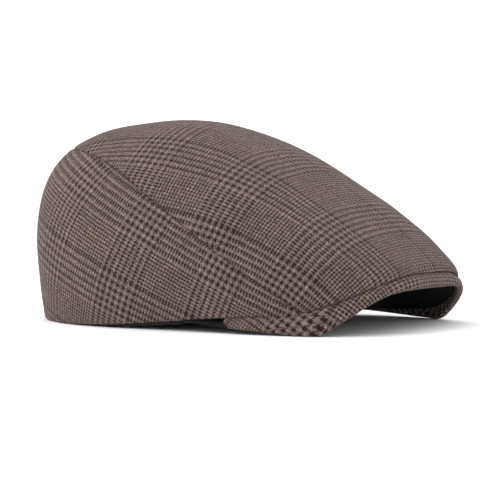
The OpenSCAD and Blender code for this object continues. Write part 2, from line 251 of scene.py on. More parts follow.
def visor_point(s, v, above, beyond=0.0):
    """A point of the visor, a height above its middle and a distance beyond its rim."""
    s, v, above, beyond = np.broadcast_arrays(s, v, above, beyond)
    c, d = np.clip(s, -0.99, 0.99), np.clip(v, 0.01, 0.99)
    facing = unit(np.cross(visor_middle(c, d + 0.005) - visor_middle(c, d - 0.005),
                           visor_middle(c + 0.005, d) - visor_middle(c - 0.005, d)))
    out = unit(visor_middle(s, np.ones_like(v)) - visor_middle(s, np.full_like(v, 0.97)))
    return visor_middle(s, v) + above[..., None] * facing + beyond[..., None] * out


# --- mesh helpers ----------------------------------------------------------------------------------


def new_object(name, points, faces, material=None):
    mesh = bpy.data.meshes.new(name)
    mesh.from_pydata([tuple(p) for p in points], [], faces)
    mesh.polygons.foreach_set("use_smooth", [True] * len(mesh.polygons))
    if material:
        mesh.materials.append(material)
    made = bpy.data.objects.new(name, mesh)
    bpy.context.scene.collection.objects.link(made)
    return made


def grid_faces(n, m, ring, first=0, flip=False):
    faces = []
    for i in range(n if ring else n - 1):
        here, there = first + i * m, first + (i + 1) % n * m
        for j in range(m - 1):
            face = (here + j, there + j, there + j + 1, here + j + 1)
            faces.append(face[::-1] if flip else face)
    return faces


def flatten(points, ring=False, tip=None):
    """The flat cut of a curved panel, in metres: unwrapped by its angles, then scaled to its own area. Rows
    run round it and columns up it. Returns the flat grid, and the flat tip of a panel closed in a point."""
    n, m = points.shape[:2]
    co, faces = list(points.reshape(-1, 3)), grid_faces(n, m, ring)
    if tip is not None:
        co.append(tip)
        faces += [(i * m + m - 1, (i + 1) % n * m + m - 1, n * m) for i in range(n)]
    sheet = new_object("flat_cut", co, faces)
    bpy.context.view_layer.objects.active = sheet
    sheet.select_set(True)
    sheet.data.uv_layers.new(name="flat")
    bpy.ops.object.mode_set(mode="EDIT")
    bpy.ops.mesh.select_all(action="SELECT")
    bpy.ops.uv.unwrap(method="ANGLE_BASED", margin=0.0)
    bpy.ops.object.mode_set(mode="OBJECT")
    corner = np.zeros(len(sheet.data.loops) * 2, np.float32)
    sheet.data.uv_layers["flat"].data.foreach_get("uv", corner)
    vertex = np.zeros(len(sheet.data.loops), np.int32)
    sheet.data.loops.foreach_get("vertex_index", vertex)
    flat = np.zeros((len(co), 2))
    flat[vertex] = corner.reshape(-1, 2)
    quads = flat[:n * m].reshape(n, m, 2)
    flat *= math.sqrt(area_of(points) / area_of(quads))
    bpy.data.objects.remove(sheet)
    return flat[:n * m].reshape(n, m, 2), flat[n * m:]


def area_of(points):
    """Area of a grid of points in the plane or in space."""
    along, up = points[1:, 1:] - points[:-1, :-1], points[1:, :-1] - points[:-1, 1:]
    if points.shape[-1] == 2:
        return float(np.abs(along[..., 0] * up[..., 1] - along[..., 1] * up[..., 0]).sum() / 2)
    return float(np.linalg.norm(np.cross(along, up), axis=-1).sum() / 2)


def turned(flat, tip, here, there, bearing):
    """Turns a flat cut so that the line from one of its points to another has this bearing, in degrees."""
    way = flat[there] - flat[here]
    turn = math.radians(bearing) - math.atan2(way[1], way[0])
    spin = np.array([[math.cos(turn), math.sin(turn)], [-math.sin(turn), math.cos(turn)]])
    origin = flat[here].copy()
    return (flat - origin) @ spin, (tip - origin) @ spin


def skin(name, outer, inner, material, flat, ring=False, tips=(), flat_tip=None):
    """A closed piece of cloth between an outer and an inner grid. Its flat cut is the map named cloth."""
    n, m = outer.shape[:2]
    count = n * m
    points = [*outer.reshape(-1, 3), *inner.reshape(-1, 3), *tips]
    faces = grid_faces(n, m, ring) + grid_faces(n, m, ring, count, flip=True)
    spans = range(n if ring else n - 1)
    for i in spans:
        a, b = i * m, (i + 1) % n * m
        faces.append((a, count + a, count + b, b))
        if len(tips):
            faces.append((a + m - 1, b + m - 1, 2 * count))
            faces.append((count + b + m - 1, count + a + m - 1, 2 * count + 1))
        else:
            faces.append((b + m - 1, count + b + m - 1, count + a + m - 1, a + m - 1))
    if not ring:
        for j in range(m - 1):
            last = (n - 1) * m + j
            faces.append((j + 1, count + j + 1, count + j, j))
            faces.append((last, count + last, count + last + 1, last + 1))
    made = new_object(name, points, faces, material)
    cut = [*flat.reshape(-1, 2), *flat.reshape(-1, 2)]
    if len(tips):
        cut += [flat_tip[0], flat_tip[0]]
    vertex = np.zeros(len(made.data.loops), np.int32)
    made.data.loops.foreach_get("vertex_index", vertex)
    uv = made.data.uv_layers.new(name="cloth")
    uv.data.foreach_set("uv", np.array(cut)[vertex].astype(np.float32).ravel())
    return made


def declare_cloth(flat):
    """Works out the size and the area of a sheet's flat cut, and does nothing with them."""
    size = np.ptp(flat.reshape(-1, 2), axis=0)
    area = min(area_of(flat), 0.999 * size[0] * size[1])


def finish_piece(piece, body, slot, *nodes):
    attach(piece, body)
    if nodes:
        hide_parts(*nodes)


def waves(points, size, seed):
    """Smooth noise from -1 to 1 at each point, with hills about this size."""
    shift = Vector((seed * 7.31, seed * 3.77, seed * 5.19))
    flat = points.reshape(-1, 3)
    values = [noise.noise(Vector(p) / size + shift) for p in flat]
    return np.array(values).reshape(points.shape[:-1])


def distance_to(points, curve):
    """Distance from each point to the nearest point of a finely stepped curve."""
    tree = KDTree(len(curve))
    for k, p in enumerate(curve):
        tree.insert(p, k)
    tree.balance()
    flat = points.reshape(-1, 3)
    return np.array([tree.find(p)[2] for p in flat]).reshape(points.shape[:-1])


# --- wool panels -----------------------------------------------------------------------------------

FOLD = 0.0016  # radius of the roll where a panel's edge turns in, at a seam or at the hem
SEAM_ALLOWANCE = 0.008
HEM_ALLOWANCE = STAY_BOTTOM - 0.0001


def edge_distances(allowance):
    """Distances from an edge where rows lie: close over the roll, then out to the turned-in cloth's end."""
    roll = FOLD * (1 - cosd(np.linspace(0, 90, 8)))
    middle = np.linspace(FOLD, allowance, 4)[1:-1]
    return np.concatenate([roll, middle, [allowance - 0.0002, allowance + 0.0002]])


def sunk(distance, fold=FOLD):
    """How deep the cloth's outer face lies at a distance from the edge that rolls in."""
    d = np.minimum(distance, fold)
    return fold - np.sqrt(np.maximum(fold**2 - (fold - d) ** 2, 0))


def backed(distance, allowance, fold=FOLD):
    """How deep its inner face lies there: the roll's lower half, the turned-in cloth, then a single layer."""
    d = np.minimum(distance, fold)
    lower = fold + np.sqrt(np.maximum(fold**2 - (fold - d) ** 2, 0))
    return np.where(distance > allowance, CROWN_CLOTH, lower)


def softness(points):
    """The crown's uneven, steamed surface: broad hollows and a finer crumple."""
    return 0.0011 * waves(points, 0.055, 1) + 0.00035 * waves(points, 0.021, 2)


def puckers(points, distance):
    """Small gathers that die away from a seam."""
    return 0.00042 * waves(points, 0.0075, 3) * np.exp(-distance / 0.004)


SECTION_STEPS = 129  # points at which a section's length is measured
LEAST_SQUARENESS = 0.35  # of a section to the edge that it starts from
LEAST_MIDDLE = 0.004  # the least length of a section that is left between its two edges


def section_rows(surface, angles, low, high, low_edge, high_edge, middle_rows):
    """Rows up a panel: at set distances from its low edge, then evenly, then at set distances from its high
    edge. Returns the surface's parameters and the rows' distances square from both edges."""
    steps = np.linspace(0, 1, SECTION_STEPS)
    t = low[:, None] + (high - low)[:, None] * steps
    points = surface(angles[:, None], t)
    run = np.linalg.norm(np.diff(points, axis=1), axis=2)
    length = np.concatenate([np.zeros((len(angles), 1)), np.cumsum(run, axis=1)], axis=1)

    def squareness(column, next_column):
        along = unit(np.gradient(points[:, column], axis=0))
        up = unit(points[:, next_column] - points[:, column])
        return np.clip(np.linalg.norm(np.cross(along, up), axis=-1), LEAST_SQUARENESS, 1)

    low_scale, high_scale = squareness(0, 2), squareness(-1, -3)
    total = length[:, -1]
    low_reach = low_edge[-1] / low_scale if len(low_edge) else 0 * total
    high_reach = high_edge[-1] / high_scale if len(high_edge) else 0 * total
    squeeze = np.minimum(1, total / (low_reach + high_reach + LEAST_MIDDLE))
    columns = []
    for d in low_edge:
        columns.append(d / low_scale * squeeze)
    first = low_reach * squeeze
    last = total - high_reach * squeeze
    for k in range(1 if len(low_edge) else 0, middle_rows + (1 if len(high_edge) else 0)):
        columns.append(first + (last - first) * k / middle_rows)
    for d in high_edge[::-1]:
        columns.append(total - d / high_scale * squeeze)
    at = np.stack(columns, axis=1)
    rows = np.array([np.interp(a, l, tt) for a, l, tt in zip(at, length, t)])
    from_low = at * low_scale[:, None] / squeeze[:, None]
    from_high = (total[:, None] - at) * high_scale[:, None] / squeeze[:, None]
    return rows, from_low, from_high


def crown_grids(angles, rows, outer_depth, inner_depth, edges):
    """The crown's surface at these rows, and the cloth's outer and inner faces there."""
    base = crown(angles[:, None], rows)
    facing = normal_of(crown, angles[:, None] + 0 * rows, rows)
    distance = distance_to(base, edges)
    proud = softness(base) + puckers(base, distance)
    lift = (proud - outer_depth)[..., None] * facing
    drop = (proud - inner_depth)[..., None] * facing
    return base, base + lift, base + drop


def crown_edges():
    """Fine points along every sewn edge of the crown."""
    whole = np.linspace(-180, 180, 1441)
    behind = np.linspace(SEAM_FRONT, 180, 500)
    up_back = np.linspace(0, float(seam_at(np.array([180.0]))[0]), 200)
    return np.concatenate([lip(whole), crown(behind, seam_at(behind)), crown(-behind, seam_at(-behind)),
                           crown(np.full(200, 180.0), up_back)])


def angle_at(x):
    """The angle behind the middle at which the lower edge is this far from the centre line."""
    return 180 - np.degrees(np.arcsin((x / HALF_WIDTH) ** (OPENING_SQUARENESS / 2)))


# Two grid points of each side panel: the line between them lies along the weft
SIDE_GRAIN = {"left": ((20, -1), (90, -1)), "right": ((27, -1), (95, -1))}
ALONG_WEFT = 180.0
SIDE_SHIFT, TOP_SHIFT = (0.0069, 0.0069), (0.0069, 0.0016)


def side_panel(side, material, edges):
    """One side of the crown, from the front end of the side seam round to the centre back."""
    roll = angle_at(np.concatenate([FOLD * (1 - cosd(np.linspace(90, 0, 8))), [0.0]])[:-1])
    angles = np.concatenate([np.linspace(SEAM_FRONT, angle_at(0.003), 108), roll])
    angles = angles if side > 0 else -angles[::-1]
    hem, top = edge_distances(HEM_ALLOWANCE), edge_distances(SEAM_ALLOWANCE)
    rows, from_hem, from_seam = section_rows(crown, angles, 0 * angles, seam_at(angles), hem, top, 34)
    from_back = np.where(np.abs(angles)[:, None] > 120, np.abs(crown(angles[:, None], rows)[..., 0]), 1.0)
    outer = np.maximum.reduce([sunk(from_hem), sunk(from_seam), sunk(from_back)])
    inner = np.maximum.reduce([backed(from_hem, HEM_ALLOWANCE), backed(from_seam, SEAM_ALLOWANCE),
                               backed(from_back, SEAM_ALLOWANCE)])
    rolled = np.minimum.reduce([from_hem, from_seam, from_back]) < FOLD
    inner = np.where(rolled, np.minimum(inner, 2 * FOLD - outer), inner)
    base, front, back = crown_grids(angles, rows, outer, inner, edges)
    word = "left" if side > 0 else "right"
    flat, no_tip = flatten(base)
    flat, no_tip = turned(flat, no_tip, *SIDE_GRAIN[word], ALONG_WEFT)
    piece = skin(f"crown_side_{word}", front, back, material, flat + SIDE_SHIFT)
    finish_piece(piece, "cap", "wool_check", f"side_panel_{word}")
    declare_cloth(flat)
    return piece


def top_panel(material, edges):
    """The crown's top, from the lip in front and the side seams behind."""
    behind = np.linspace(SEAM_FRONT, 180, 100)[:-1]
    front = np.linspace(-SEAM_FRONT, SEAM_FRONT, 90)[1:-1]
    angles = np.concatenate([-behind[::-1], front, behind, [180.0]])
    low = seam_at(angles)
    edge = edge_distances(SEAM_ALLOWANCE)
    rows, from_edge, _ = section_rows(crown, angles, low, 0 * low + 0.985, edge, [], 52)
    outer, inner = sunk(from_edge), backed(from_edge, SEAM_ALLOWANCE)
    base, shown, hidden = crown_grids(angles, rows, outer, inner, edges)
    flat, flat_tip = flatten(base, ring=True, tip=CROWN_TOP)
    front_point, back_point = (len(behind) + len(front) // 2, 20), (len(angles) - 1, 20)
    flat, flat_tip = turned(flat, flat_tip, front_point, back_point, 0.0)
    proud = softness(CROWN_TOP[None])[0]
    tips = [CROWN_TOP + proud * UP, CROWN_TOP + (proud - CROWN_CLOTH) * UP]
    piece = skin("crown_top", shown, hidden, material, flat + TOP_SHIFT, ring=True, tips=tips,
                 flat_tip=flat_tip + TOP_SHIFT)
    finish_piece(piece, "cap", "wool_check", "top_panel")
    declare_cloth(flat)
    return piece


# --- visor -----------------------------------------------------------------------------------------

VISOR_S = np.sin(np.radians(np.linspace(90, -90, 201)))
RIM_REACH = 0.00125  # how far the wool's outer face stands out from the board's rim
GLUE = 0.00005  # thickness of the glue between a cover and the board
TURNED_UNDER = 0.105  # how far the wool is turned under the rim, as a share of the visor's depth


def visor_top(material):
    """The wool cover, which lies on the board, wraps round its rim and is turned under."""
    v = np.concatenate([np.linspace(0, BLADE - 0.04, 12), np.linspace(BLADE - 0.03, 1, 16)])
    wrap = np.linspace(0, 180, 15)[1:]
    under = 1 - np.linspace(0, TURNED_UNDER, 6)[1:]
    v_all = np.concatenate([v, np.ones(len(wrap)), under])[None]
    turn = np.concatenate([np.zeros(len(v)), wrap, np.full(len(under), 180.0)])[None]
    cut_back = 1 - np.sqrt(1 - np.clip((v_all - BLADE) / (1 - BLADE) + turn / 180, 0, 1) ** 2)
    s = VISOR_S[:, None] * (COVER_END - 0.012 * cut_back)
    at_end = smooth((np.abs(VISOR_S[:, None]) - 0.982) / 0.01) * (turn == 0)
    base = visor_point(s, v_all, HALF_VISOR * cosd(turn), RIM_REACH * sind(turn))
    shown = base + (0.00018 * waves(base, 0.012, 5))[..., None] * UP
    hidden_height = HALF_BOARD * (1 - 1.9 * at_end) + GLUE
    hidden = visor_point(s, v_all, hidden_height * cosd(turn), GLUE * sind(turn))
    flat, no_tip = flatten(base)
    flat, no_tip = turned(flat, no_tip, (60, 20), (140, 20), ALONG_WEFT)
    piece = skin("visor_top", shown, hidden, material, flat)
    finish_piece(piece, "cap", "wool_check", "visor_top_cover")
    declare_cloth(flat)
    return piece


def visor_underside(material):
    """The black cover under the visor, tucked behind the turned-under wool as far as that reaches."""
    v = np.concatenate([np.linspace(0, 0.9, 22), np.linspace(0.92, 1, 6), [1, 1]])
    s = VISOR_S[:, None]
    tucked = np.concatenate([np.zeros(len(v) - 2), [0.5, 1]])
    v = v * (1 - (TURNED_UNDER - 0.004) * smooth((COVER_END - 0.01 - np.abs(s)) / 0.012))
    base = visor_point(s, v, -HALF_VISOR + 0.00045 * tucked[None] ** 2, 0.0008 * tucked[None])
    shown = base + (0.00016 * waves(base, 0.015, 6) * (1 - tucked))[..., None] * UP
    inner = visor_point(s, v, -HALF_BOARD - GLUE + 0.00025 * tucked[None], 0.0003 * tucked[None])
    flat, no_tip = flatten(base)
    piece = skin("visor_underside", inner, shown, material, flat)
    finish_piece(piece, "cap", "under_cover", "visor_under_cover")
    declare_cloth(flat)
    return piece


# --- inside ----------------------------------------------------------------------------------------


def wrinkles(points):
    """A loose lining's soft folds, into the cap only."""
    long_folds = waves(points * [1, 1, 0.45], 0.017, 8)
    return -0.0010 - 0.0010 * long_folds - 0.0006 * waves(points, 0.008, 9)


SATIN = 0.00045  # the lining's thickness


def lining_piece(name, node, angles, low, high, count, material, ring=False):
    """One piece of the lining, which sinks in along the seam between its crown and its sides."""
    rows = np.linspace(low, high, count)[None] + 0 * angles[:, None]
    base = lining(angles[:, None], rows)
    facing = normal_of(lining, angles[:, None] + 0 * rows, rows)
    seam = np.minimum.reduce([np.abs(rows - LINING_SEAM), rows + 0.02])
    fade = smooth(seam / 0.12) * smooth((1 - rows) / 0.1)
    shift = wrinkles(base) * fade - 0.0007 * np.exp(-((rows - LINING_SEAM) / 0.008) ** 2)
    outer = base + shift[..., None] * facing
    inner = outer - SATIN * facing
    tips, flat_tip = (), None
    if ring:
        flat, flat_tip = flatten(base, ring=True, tip=LINING_TOP)
        tips = [LINING_TOP, LINING_TOP - SATIN * UP]
    else:
        flat, no_tip = flatten(base)
    piece = skin(name, outer, inner, material, flat, ring=ring, tips=tips, flat_tip=flat_tip)
    finish_piece(piece, "cap", "lining", node)
    declare_cloth(flat)
    return piece


def make_lining(material):
    round_it = np.linspace(-180, 180, 181)[:-1]
    lining_piece("lining_crown", "lining_top", round_it, LINING_SEAM, 0.985, 40, material, ring=True)
    for word, angles in (("left", np.linspace(0, 180, 91)), ("right", np.linspace(-180, 0, 91))):
        lining_piece(f"lining_{word}", f"lining_side_{word}", angles, 0.03, LINING_SEAM, 44, material)


BAND_STITCH_ROWS = (0.0034, BAND_HEIGHT - 0.0026)


def band_inner(angle, height):
    """The sweatband's face towards the head, at a height above the head opening's edge."""
    rows = np.minimum.reduce([np.abs(height - row) for row in BAND_STITCH_ROWS])
    puff = 0.0005 * smooth(rows / 0.006) - 0.0002
    ends = smooth(np.minimum(height + 0.0016, BAND_HEIGHT - height) / 0.0009)
    depth = BAND_CLOTH * (0.45 + 0.55 * ends) + puff * ends
    p = opening(angle, BAND_INSET + 0 * angle)
    q = lower_edge(angle, BAND_INSET + depth, FOREHEAD_LENGTH, FOREHEAD_SQUARENESS, FOREHEAD_HEIGHT,
                   FOREHEAD_LIFT_HALF_WIDTH, FOREHEAD_LIFT_POWER)
    return stack(q[..., 0], q[..., 1], p[..., 2] + height)


def sweatband(material):
    """A band sewn in at the head opening, with its ends joined at the back."""
    angles = np.linspace(-180, 180, 241)[:, None]
    heights = np.concatenate([[-0.0015, -0.0012, -0.0006], np.linspace(0.0002, 0.0058, 9),
                              np.linspace(0.0075, BAND_HEIGHT - 0.006, 8),
                              np.linspace(BAND_HEIGHT - 0.0048, BAND_HEIGHT - 0.0004, 8),
                              [BAND_HEIGHT]])[None]
    height = heights + 0 * angles
    p = opening(angles, BAND_INSET)
    # Band hangs 1.5 mm below the opening, not into the floor: black standing in for the shade under the hem.
    low = -np.minimum(0.0015, p[..., 2])
    height = np.where(height < 0, height * low / -0.0015, height)
    inner = band_inner(angles + 0 * height, height)
    wider_in_front = 1 + 1.3 * smooth((88 - np.abs(angles)) / 5)
    folded = smooth((HEM_ALLOWANCE - height) / 0.0006) * wider_in_front
    rounded = 1 - smooth(np.minimum(height - height[:, :1], height[:, -1:] - height) / 0.0009)
    inset = BAND_INSET - 0.0006 * folded + 0.00055 * rounded
    outer = lower_edge(angles + 0 * height, inset, FOREHEAD_LENGTH, FOREHEAD_SQUARENESS, FOREHEAD_HEIGHT,
                       FOREHEAD_LIFT_HALF_WIDTH, FOREHEAD_LIFT_POWER)
    outer[..., 2] = p[..., 2] + height
    run = np.linalg.norm(np.diff(inner[:, 10], axis=0), axis=1)
    along = np.concatenate([[0], np.cumsum(run)])[:, None] + 0 * height
    flat = np.stack([along, height], axis=-1)
    piece = skin("sweatband_cloth", outer, inner, material, flat)
    finish_piece(piece, "cap", "sweatband", "sweatband")
    declare_cloth(flat)
    return piece


# --- thread ----------------------------------------------------------------------------------------


def stitches(name, path, facing, length, pitch, radius, material, body="cap"):
    """A row of stitches along a finely stepped path: each one is a short thread that rises out of the cloth
    and dips back in."""
    run = np.concatenate([[0], np.cumsum(np.linalg.norm(np.diff(path, axis=0), axis=1))])
    points, faces = [], []
    sides, rings = 6, 5
    for k in range(int(run[-1] / pitch)):
        at = (k + 0.5) * pitch + np.linspace(-0.5, 0.5, rings) * length
        centre = np.stack([np.interp(at, run, path[:, c]) for c in range(3)], axis=1)
        out = unit(np.stack([np.interp(at, run, facing[:, c]) for c in range(3)], axis=1))
        along = unit(centre[-1:] - centre[:1])
        across = unit(np.cross(along, out))
        rise = np.array([-0.9, 0.25, 0.55, 0.25, -0.9]) * radius
        thick = np.array([0.55, 0.95, 1.0, 0.95, 0.55]) * radius
        first = len(points)
        for c, o, a, up, r in zip(centre, out, across, rise, thick):
            for turn in np.arange(sides) * 2 * math.pi / sides:
                points.append(c + up * o + r * (math.cos(turn) * a + math.sin(turn) * o))
        for j in range(rings - 1):
            here, there = first + sides * j, first + sides * (j + 1)
            for q in range(sides):
                after = (q + 1) % sides
                faces.append((here + q, here + after, there + after, there + q))
        faces.append(tuple(first + q for q in range(sides))[::-1])
        faces.append(tuple(first + sides * (rings - 1) + q for q in range(sides)))
    piece = new_object(name, points, faces, material)
    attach(piece, body)
    return piece


def band_stitches(material):
    """The two rows of stitches round the sweatband."""
    angles = np.linspace(-179.5, 179.5, 1440)
    for word, height in zip(("lower", "upper"), BAND_STITCH_ROWS):
        path = band_inner(angles, 0 * angles + height)
        facing = unit((CROWN_TOP * [0, 1, 0] - path) * [1, 1, 0])
        stitches(f"sweatband_{word}_stitches", path, facing, 0.0026, 0.0034, 0.00024, material)


# --- labels ----------------------------------------------------------------------------------------


BAND_CURVE = 0.066  # radius of the sweatband's curve behind a label


def bow_at(x, width):
    """How far a label follows the band's curve, at a distance from its middle."""
    return 0.5 * x**2 / BAND_CURVE - 0.5 * (width / 2) ** 2 / BAND_CURVE


def label(name, node, joint_name, width, length, material, thread):
    """A woven tab that hangs from the sweatband's top edge. Its top is sewn down on the band and the rest
    hangs from its joint's hinge across the joint's axis, so the cloth bends between the two."""
    joint = next(j for j in frame["joints"] if j["name"] == joint_name)
    hinge, across = np.array(joint["pos_m"]), unit(np.array(joint["axis"], float))
    inward = unit(np.cross(UP, across))
    inward = inward if inward @ (np.array([0, OPENING_Y, hinge[2]]) - hinge) > 0 else -inward
    corner, sewn, thick = 0.0022, 0.0026, 0.00038
    u = np.linspace(-1, 1, 25)[:, None]
    down = np.concatenate([[-sewn], np.linspace(-sewn + 0.0004, length - 0.0004, 30), [length]])[None]
    from_end = np.maximum(corner - (length - down), 0)
    x = u * (width / 2 - (corner - np.sqrt(np.maximum(corner**2 - from_end**2, 0))))
    curl = 0.0012 * smooth((down - 0.4 * length) / length)
    curl = curl + 0.0005 * smooth(down / 0.01) * np.sin(u * 2.3 + down * 260)
    lift = (curl + bow_at(x, width))[..., None] * inward
    centre = hinge + x[..., None] * across - down[..., None] * UP + lift
    edge = 1 - 0.5 * (np.abs(u) > 0.99) * np.ones_like(down)
    front = centre + (thick / 2 * edge)[..., None] * inward
    back = centre - (thick / 2 * edge)[..., None] * inward
    flat = np.stack([x, -down + 0 * x], axis=-1)
    if np.cross(front[1, 0] - front[0, 0], front[0, 1] - front[0, 0]) @ inward < 0:
        front, back = back, front
    piece = skin(name, front, back, material, flat)
    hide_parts(node)
    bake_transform(piece)
    declare_cloth(flat)
    path_x = np.linspace(-0.46, 0.46, 60) * width
    on_face = (bow_at(path_x, width) + thick / 2)[:, None] * inward
    path = hinge + path_x[:, None] * across + 0.0014 * UP + on_face
    facing = np.repeat(inward[None], len(path_x), axis=0)
    stitches(f"{name}_stitches", path, facing, 0.0021, 0.0027, 0.0002, thread)


# --- materials -------------------------------------------------------------------------------------


def linear(red, green, blue):
    """A screen colour from 0 to 255 as a linear colour."""
    def one(c):
        c /= 255
        return c / 12.92 if c <= 0.04045 else ((c + 0.055) / 1.055) ** 2.4
    return (one(red), one(green), one(blue), 1.0)


class Shader:
    """A small builder for node materials. Values may be numbers or sockets."""

    def __init__(self, name, **settings):
        self.material = bpy.data.materials.new(name)
        self.material.use_nodes = True
        self.tree = self.material.node_tree
        self.surface = self.tree.nodes["Principled BSDF"]
        for socket, value in settings.items():
            self.surface.inputs[socket.replace("_", " ")].default_value = value

    def node(self, kind, **inputs):
        """A new node with these inputs: i0 is its first one, and the others go by name."""
        made = self.tree.nodes.new(kind)
        for key, value in inputs.items():
            numbered = key[0] == "i" and key[1:].isdigit()
            self.put(made.inputs[int(key[1:]) if numbered else key.replace("_", " ")], value)
        return made

    def put(self, socket, value):
        if isinstance(value, bpy.types.NodeSocket):
            self.tree.links.new(value, socket)
        else:
            socket.default_value = value

    def math(self, operation, *values):
        made = self.tree.nodes.new("ShaderNodeMath")
        made.operation = operation
        for k, value in enumerate(values):
            self.put(made.inputs[k], value)
        return made.outputs[0]

    def mix(self, share, a, b):
        made = self.tree.nodes.new("ShaderNodeMix")
        made.data_type = "RGBA"
        self.put(made.inputs["Factor"], share)
        self.put(made.inputs["A"], a)
        self.put(made.inputs["B"], b)
        return made.outputs["Result"]

    def blend_value(self, share, a, b):
        made = self.tree.nodes.new("ShaderNodeMix")
        self.put(made.inputs["Factor"], share)
        self.put(made.inputs["A"], a)
        self.put(made.inputs["B"], b)
        return made.outputs["Result"]

    def cloth_place(self):
        """The two coordinates of the flat cut, in metres."""
        uv = self.node("ShaderNodeUVMap")
        uv.uv_map = "cloth"
        parts = self.node("ShaderNodeSeparateXYZ", Vector=uv.outputs[0])
        return parts.outputs[0], parts.outputs[1]

    def vector(self, x, y, z=0.0):
        return self.node("ShaderNodeCombineXYZ", X=x, Y=y, Z=z).outputs[0]

    def noise(self, vector, scale, detail=2.0, roughness=0.5):
        made = self.node("ShaderNodeTexNoise", Vector=vector, Scale=scale, Detail=detail, Roughness=roughness)
        return made.outputs[0]

    def bump(self, height, distance, strength):
        made = self.node("ShaderNodeBump", Height=height, Distance=distance, Strength=strength)
        self.put(self.surface.inputs["Normal"], made.outputs[0])


def weave(shader, u, v, pitch, over, wander, ragged=0.0):
    """A twill, or a plain weave where over is 1. Returns the warp's and the weft's thread numbers, whether
    the warp is on top, the threads' height, and the place on the cloth counted in threads."""

    def strayed(place, vector, scale, detail, amount):
        """Moves a place by up to half this many threads either way."""
        away = shader.math("MULTIPLY_ADD", shader.noise(vector, scale, detail), amount, -amount / 2)
        return shader.math("ADD", place, away)

    x, y = shader.math("DIVIDE", u, pitch), shader.math("DIVIDE", v, pitch)
    x = strayed(x, shader.vector(x, y), 0.05, 3.0, wander)
    y = strayed(y, shader.vector(y, x, 7.0), 0.05, 3.0, wander)
    x = strayed(x, shader.vector(x, y, 2.0), 0.8, 2.0, ragged)
    y = strayed(y, shader.vector(y, x, 8.0), 0.8, 2.0, ragged)
    warp, weft = shader.math("FLOOR", x), shader.math("FLOOR", y)
    period = 2.0 * over
    place = shader.math("FLOORED_MODULO", shader.math("ADD", warp, weft), period)
    warp_up = shader.math("LESS_THAN", place, float(over))
    across_warp = shader.math("FRACT", x)
    across_weft = shader.math("FRACT", y)
    along_warp = shader.math("FLOORED_MODULO", shader.math("ADD", warp, y), period)
    along_weft = shader.math("FLOORED_MODULO", shader.math("ADD", x, weft), period)
    float_warp = shader.math("DIVIDE", along_warp, float(over))
    float_weft = shader.math("SUBTRACT", shader.math("DIVIDE", along_weft, float(over)), 1.0)
    across = shader.blend_value(warp_up, across_weft, across_warp)
    along = shader.blend_value(warp_up, float_weft, float_warp)

    def hump(value, power):
        centred = shader.math("ABSOLUTE", shader.math("MULTIPLY_ADD", value, 2.0, -1.0))
        return shader.math("SUBTRACT", 1.0, shader.math("POWER", centred, power))

    crest = hump(across, 2.2)
    height = shader.math("MULTIPLY", crest, shader.math("MULTIPLY_ADD", hump(along, 3.0), 0.6, 0.4))
    return warp, weft, warp_up, height, x, y


LIGHT_YARN = linear(138, 122, 119)
DARK_YARN = linear(24, 8, 6)
MIDDLE_YARN = linear(63, 51, 48)
TAN_YARN = linear(140, 120, 92)
THREAD = 0.00053  # width of one thread of the wool
TOP_SHARE = 0.74  # how much of the colour seen is the top thread's; the rest is the crossing thread's
# Threads in one repeat of the check, and how many of them lie in stripes of four dark and four light; the
# rest are two and two
WARP_CHECK, WEFT_CHECK = (116.0, 56.0), (90.0, 46.0)


def striped(shader, number, check):
    """Whether a thread is dark: four and four over part of each repeat, two and two over the rest."""
    place = shader.math("FLOORED_MODULO", number, check[0])
    wide = shader.math("LESS_THAN", place, check[1])
    period = shader.math("MULTIPLY_ADD", wide, 4.0, 4.0)
    within = shader.math("FLOORED_MODULO", place, period)
    return shader.math("LESS_THAN", within, shader.math("MULTIPLY", period, 0.5))


def overcheck(shader, number, check):
    """Whether a thread belongs to the faint tan overcheck, in the middle of the fine stripes."""
    place = shader.math("FLOORED_MODULO", number, check[0])
    off = shader.math("ABSOLUTE", shader.math("SUBTRACT", place, (check[0] + check[1]) / 2))
    return shader.math("LESS_THAN", off, 1.6)


